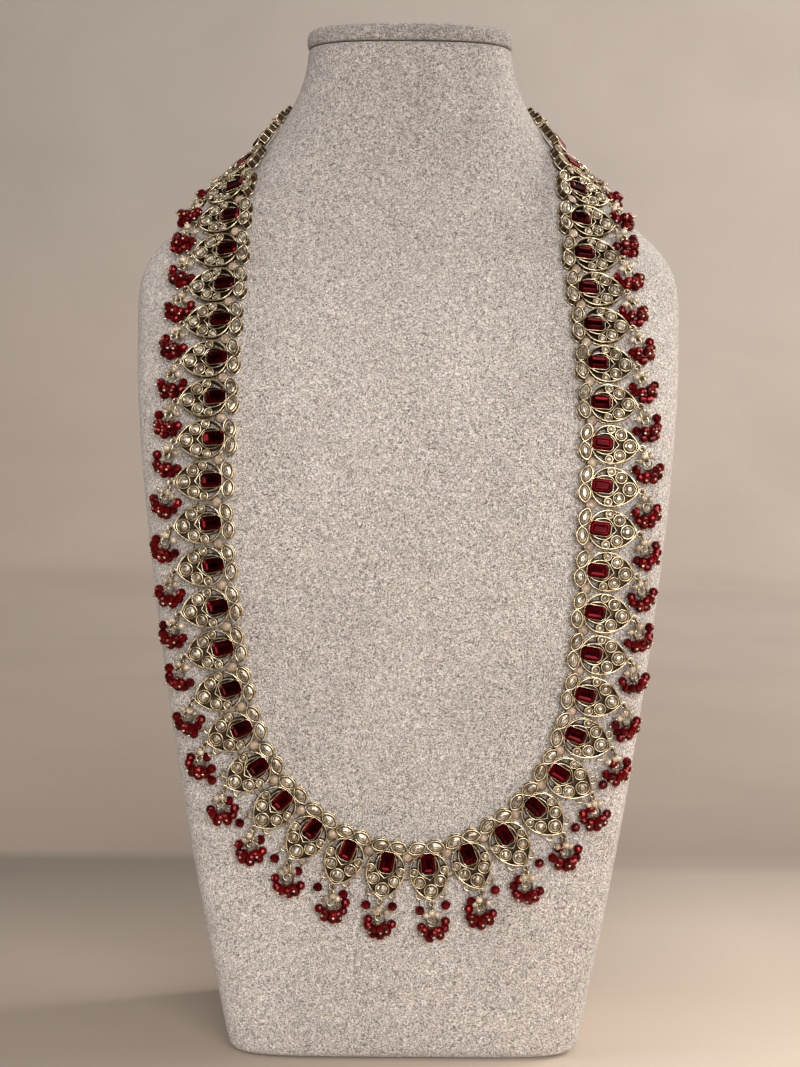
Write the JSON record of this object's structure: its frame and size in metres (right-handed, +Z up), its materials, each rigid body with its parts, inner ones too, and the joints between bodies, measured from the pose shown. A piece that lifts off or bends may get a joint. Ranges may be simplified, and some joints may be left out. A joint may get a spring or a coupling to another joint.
{
  "type": "long necklace on a neck bust",
  "caption": "Long necklace of pierced antique-gold plates with red octagon stones, clear stones and hanging clusters of red beads and pearls, worn on a plush neck bust.",
  "frame": {"origin": "middle of the bust's underside, on the table", "axes": "+Z up, the bust's front and the necklace's lowest plate face -Y, +X is the viewer's right"},
  "size_m": [0.2064, 0.1158, 0.3776],
  "materials": {
    "plush": "short plush pile",
    "gold": "antique pale gold with dark recesses",
    "ruby": "step-cut, polished",
    "clear_stone": "rose-cut, polished",
    "pearl": "cream pearl",
    "bead_red": "faceted, polished"
  },
  "bodies": {
    "root": {"display_bust": "plush", "neck_cap": "plush", "plate_01": "gold", "plate_02": "gold", "plate_03": "gold", "plate_04": "gold", "plate_05": "gold", "plate_06": "gold", "plate_07": "gold", "plate_08": "gold", "plate_09": "gold", "plate_10": "gold", "plate_11": "gold", "plate_12": "gold", "plate_13": "gold", "plate_14": "gold", "plate_15": "gold", "plate_16": "gold", "plate_17": "gold", "plate_18": "gold", "plate_19": "gold", "plate_20": "gold", "plate_21": "gold", "plate_22": "gold", "plate_23": "gold", "plate_24": "gold", "plate_25": "gold", "plate_26": "gold", "plate_27": "gold", "plate_28": "gold", "plate_29": "gold", "plate_30": "gold", "plate_31": "gold", "plate_32": "gold", "plate_33": "gold", "plate_34": "gold", "plate_35": "gold", "plate_36": "gold", "plate_37": "gold", "plate_38": "gold", "plate_39": "gold", "plate_40": "gold", "plate_41": "gold", "plate_42": "gold", "plate_43": "gold", "plate_44": "gold", "rubies_left": "ruby", "rubies_right": "ruby", "tip_stones_left": "clear_stone", "tip_stones_right": "clear_stone", "drops_left": "bead_red", "drops_right": "bead_red", "plate_links_left": "gold", "plate_links_right": "gold", "nape_links": "gold", "nape_rings": "gold", "back_chain": "gold", "clasp": "gold"}
  },
  "joints": []
}
